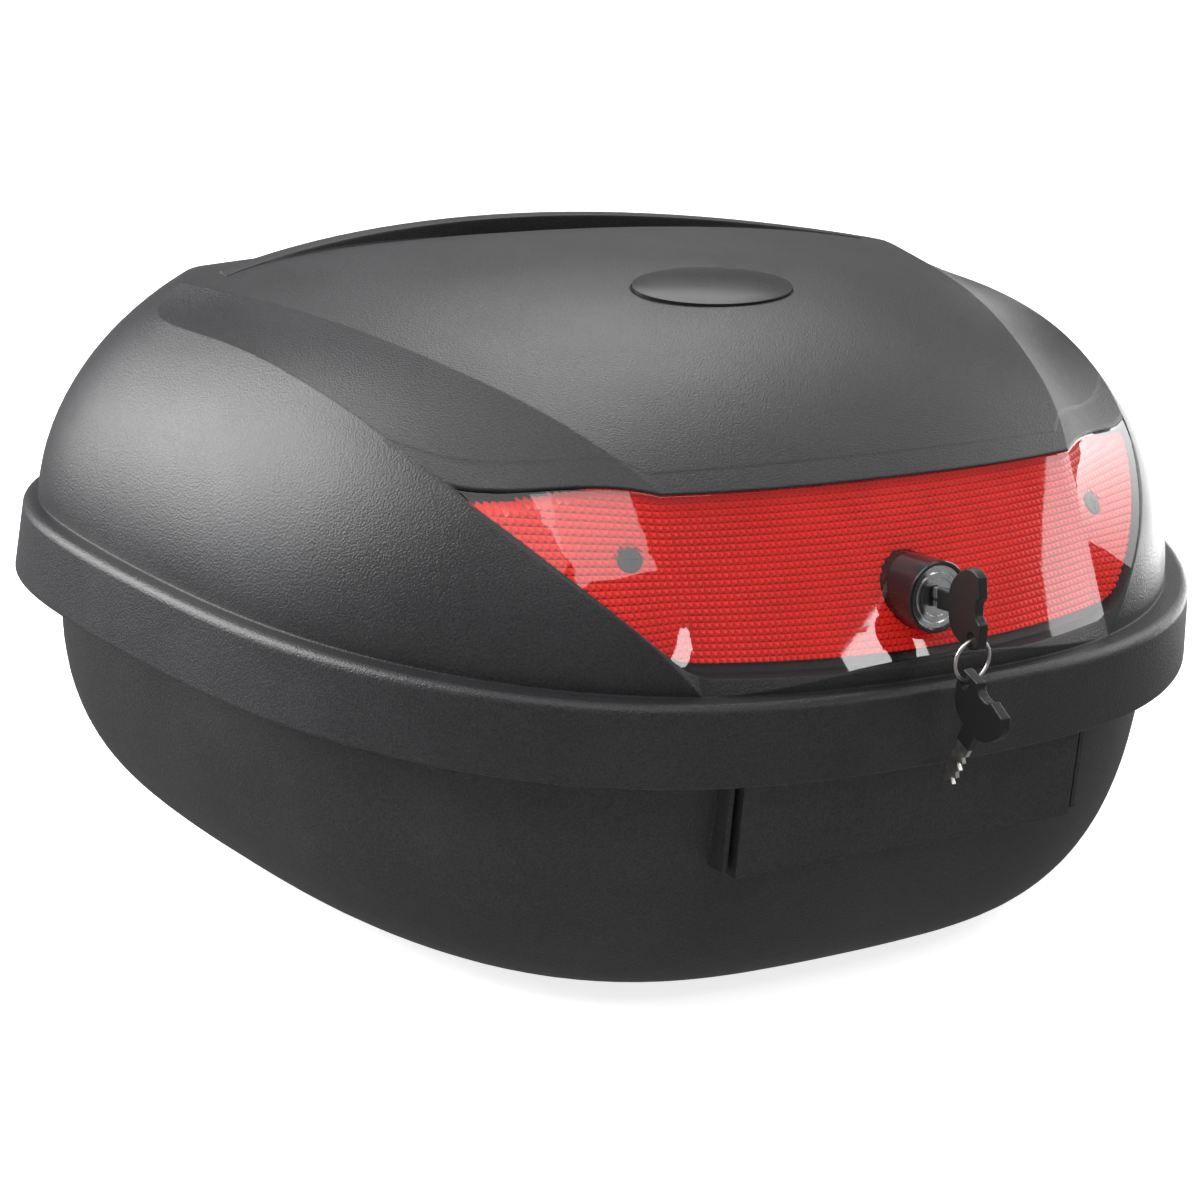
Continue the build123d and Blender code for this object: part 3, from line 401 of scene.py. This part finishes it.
def prism_field(low, high, shape):
    """Closed block whose rear face is a field of four-sided prisms following the panel."""
    columns = span(low.x, high.x, PRISM_PITCH_X)
    rows = span(low.z, high.z, PRISM_PITCH_Z)
    grid = front_depths(shape, columns, rows)
    back = high.y + PRISM_BACKING
    build = bmesh.new()
    corners = []
    for z, line in zip(rows, grid):
        corners.append([build.verts.new((x, y + PRISM_DEPTH, z)) for x, y in zip(columns, line)])
    for j in range(len(rows) - 1):
        for i in range(len(columns) - 1):
            ring = [corners[j][i], corners[j][i + 1], corners[j + 1][i + 1], corners[j + 1][i]]
            middle = sum((vertex.co for vertex in ring), Vector()) / 4
            middle.y -= PRISM_DEPTH - PRISM_SKIN
            tip = build.verts.new(middle)
            for k in range(4):
                build.faces.new((ring[k], ring[(k + 1) % 4], tip))
    rim = corners[0] + [line[-1] for line in corners[1:]] + corners[-1][-2::-1]
    rim += [line[0] for line in corners[-2:0:-1]]
    far = [build.verts.new((vertex.co.x, back, vertex.co.z)) for vertex in rim]
    for k in range(len(rim)):
        following = (k + 1) % len(rim)
        build.faces.new((rim[k], far[k], far[following], rim[following]))
    build.faces.new(far)
    face_outward(build)
    mesh = bpy.data.meshes.new("prism_field")
    build.to_mesh(mesh)
    build.free()
    return bpy.data.objects.new("prism_field", mesh)


def combined(blank, tool, operation):
    """Mesh of one shape cut by another. Both shapes are used up."""
    for shape in (blank, tool):
        scene.collection.objects.link(shape)
    cut = blank.modifiers.new("cut", "BOOLEAN")
    cut.operation = operation
    cut.solver = "EXACT"
    cut.object = tool
    graph = bpy.context.evaluated_depsgraph_get()
    mesh = bpy.data.meshes.new_from_object(blank.evaluated_get(graph))
    for shape in (blank, tool):
        bpy.data.objects.remove(shape)
    return mesh


def add_piece(name, mesh, material, body, node):
    """The mesh as a flat-shaded piece that rides on a body in place of a CAD node."""
    mesh.name = name
    for polygon in mesh.polygons:
        polygon.use_smooth = False
    mesh.materials.clear()
    mesh.materials.append(material)
    piece = bpy.data.objects.new(name, mesh)
    scene.collection.objects.link(piece)
    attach(piece, body)
    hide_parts(node)
    return piece


def make_prism_grid():
    """The reflector's prism panel, meant to have its prisms in front.

    The solver isn't stable here: some runs keep the plain front of the panel instead.
    """
    panel = welded_copy("prism_blank", nodes["prism_panel"])
    low, high = (Vector(corner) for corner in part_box("prism_panel"))
    mesh = combined(panel, prism_field(low, high, panel), "INTERSECT")
    add_piece("prism_grid", mesh, PRISM, "lid", "prism_panel")


# ---- rubber parts ---------------------------------------------------------------------------
SEAL_ROUNDING = 0.0017
GROOVE_PITCH = 0.012
GROOVE_WIDTH = 0.005
GROOVE_DEPTH = 0.0009
GROOVE_OVERHANG = 0.02   # how much longer the cutting bars are than the mat
FLAT_ANGLE = 0.001       # radians; faces closer than this are one flat face
CREST_ANGLE = 1.0        # radians; the crest's corners are sharper than this
CREST_TOLERANCE = 0.00001
CREST_SEGMENTS = 4


def make_seal():
    """Rim seal with a rounded crest."""
    seal = welded_copy("seal_blank", nodes["rim_seal"])
    build = bmesh.new()
    build.from_mesh(seal.data)
    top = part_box("rim_seal")[1][2]
    bmesh.ops.dissolve_limit(
        build, angle_limit=FLAT_ANGLE, verts=build.verts, edges=build.edges, delimit={"NORMAL"}
    )
    crest = [
        edge for edge in build.edges
        if all(abs(vertex.co.z - top) < CREST_TOLERANCE for vertex in edge.verts)
        and edge.calc_face_angle(0) > CREST_ANGLE
    ]
    bmesh.ops.bevel(
        build, geom=crest, offset=SEAL_ROUNDING, segments=CREST_SEGMENTS, profile=0.5,
        affect="EDGES",
    )
    build.to_mesh(seal.data)
    build.free()
    add_piece("rim_seal_crest", seal.data.copy(), SEAL_RUBBER, "base", "rim_seal")
    bpy.data.objects.remove(seal)


def groove_field(low, high):
    """Row of bars along X that cut the mat's grooves."""
    build = bmesh.new()
    count = int((high.y - low.y) / GROOVE_PITCH)
    start = (low.y + high.y - (count - 1) * GROOVE_PITCH) / 2
    for i in range(count):
        size = Vector((high.x - low.x + GROOVE_OVERHANG, GROOVE_WIDTH, 2 * GROOVE_DEPTH))
        place = Matrix.Translation((0, start + i * GROOVE_PITCH, high.z))
        bmesh.ops.create_cube(build, size=1.0, matrix=place @ Matrix.Diagonal(size).to_4x4())
    mesh = bpy.data.meshes.new("groove_field")
    build.to_mesh(mesh)
    build.free()
    return bpy.data.objects.new("groove_field", mesh)


def make_mat():
    """Floor mat with grooves across it."""
    mat = welded_copy("mat_blank", nodes["floor_mat"])
    low, high = (Vector(corner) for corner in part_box("floor_mat"))
    mesh = combined(mat, groove_field(low, high), "DIFFERENCE")
    add_piece("grooved_mat", mesh, MAT_RUBBER, "base", "floor_mat")


# ---- release spring -------------------------------------------------------------------------
def make_spring():
    """Release spring as a smooth-shaded piece riding on the base; the real spring shortens
    towards its +Y end as the catch is pulled, but this piece keeps its shape.
    """
    blank = welded_copy("spring_blank", nodes["release_spring"])
    spring = add_piece("coil_spring", blank.data.copy(), STEEL, "base", "release_spring")
    bpy.data.objects.remove(blank)
    for polygon in spring.data.polygons:
        polygon.use_smooth = True
    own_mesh(spring)


make_prism_grid()
make_seal()
make_mat()
make_spring()


# ---- camera, lights and floor ---------------------------------------------------------------
TARGET = Vector((0.0, 0.0385, 0.125))
BACK = Vector((-0.5272, -0.7865, 0.3216))
RIGHT = Vector((0.8431, -0.5314, 0.0827))
UP = Vector((0.1059, 0.3148, 0.9432))
CAMERA_DISTANCE = 1.51312
LENS_MM = 90.0
SHIFT_X = -0.01357
SHIFT_Y = -0.02477
SENSOR_WIDTH_MM = 36.0
FLOOR_HALF_SIZE = 30.0
FLOOR_GLOW = 0.95        # emission strength that keeps the floor pale


def make_camera():
    """Long-lens camera above the rear left corner."""
    data = bpy.data.cameras.new("camera")
    data.lens = LENS_MM
    data.sensor_width = SENSOR_WIDTH_MM
    data.shift_x = SHIFT_X
    data.shift_y = SHIFT_Y
    camera = bpy.data.objects.new("camera", data)
    place = Matrix((RIGHT, UP, BACK)).transposed().to_4x4()
    place.translation = TARGET + BACK * CAMERA_DISTANCE
    camera.matrix_world = place
    scene.collection.objects.link(camera)
    scene.camera = camera


def area_light(name, place, aim, size, power):
    """White softbox at a place, aimed at a point."""
    data = bpy.data.lights.new(name, "AREA")
    data.shape = "RECTANGLE"
    data.size, data.size_y = size
    data.energy = power
    lamp = bpy.data.objects.new(name, data)
    direction = Vector(aim) - Vector(place)
    lamp.location = place
    lamp.rotation_euler = direction.to_track_quat("-Z", "Y").to_euler()
    scene.collection.objects.link(lamp)


def make_floor():
    """Pale studio floor with the faintest mottling, lit a little from below."""
    mesh = bpy.data.meshes.new("studio_floor")
    build = bmesh.new()
    bmesh.ops.create_grid(build, x_segments=2, y_segments=2, size=FLOOR_HALF_SIZE)
    build.to_mesh(mesh)
    build.free()
    floor = bpy.data.objects.new("studio_floor", mesh)
    scene.collection.objects.link(floor)
    material, tree, shader = start_material("studio_floor")
    soft = noise(tree, 0.5, detail=2.0)
    pale = blend_colour(tree, soft, (0.80, 0.80, 0.80), (0.84, 0.84, 0.84))
    tree.links.new(pale, shader.inputs["Base Color"])
    shader.inputs["Roughness"].default_value = 0.8
    tree.links.new(pale, shader.inputs["Emission Color"])
    shader.inputs["Emission Strength"].default_value = FLOOR_GLOW
    mesh.materials.append(material)
    floor.visible_glossy = False


def make_world():
    """Dim studio all round that shows as a pale backdrop."""
    world = bpy.data.worlds.new("studio")
    world.use_nodes = True
    tree = world.node_tree
    background = tree.nodes["Background"]
    background.inputs["Color"].default_value = (0.96, 0.96, 0.97, 1)
    seen = tree.nodes.new("ShaderNodeLightPath").outputs["Is Camera Ray"]
    tree.links.new(remap(tree, seen, 0, 1, STUDIO_FILL, 1.0), background.inputs["Strength"])
    scene.world = world


# Each softbox: name, place, the point it faces, its size and its power.
SOFTBOXES = (
    ("left_back_softbox", (-1.15, 0.69, 1.10), (0, 0, 0.2), (1.3, 1.2), 49),
    ("left_low_softbox", (-1.20, 0.95, 0.40), (0, 0, 0.2), (1.0, 0.6), 12),
    ("right_back_softbox", (0.58, 0.90, 1.46), (0, 0, 0.25), (0.9, 0.7), 10),
    ("right_low_softbox", (1.41, 0.75, 0.17), (0, 0, 0.15), (0.8, 0.3), 2.5),
    ("right_bounce", (0.75, 0.25, 0.08), (0.2, -0.05, 0.15), (0.7, 0.12), 2.5),
    ("right_softbox", (1.19, -0.12, 0.71), (0.1, -0.18, 0.2), (1.1, 0.75), 8),
    ("low_softbox", (0.232, -0.538, 0.483), (-0.03, -0.19, 0.2), (0.15, 0.075), 0.25),
    ("rear_softbox", (-0.34, -0.71, 1.26), (-0.13, -0.15, 0.22), (0.8, 0.6), 3.6),
    ("overhead_softbox", (0.0, 0.0, 1.60), (0, 0, 0.2), (1.2, 1.2), 5),
)
make_camera()
make_floor()
make_world()
for softbox in SOFTBOXES:
    area_light(*softbox)
scene.view_settings.view_transform = "Standard"
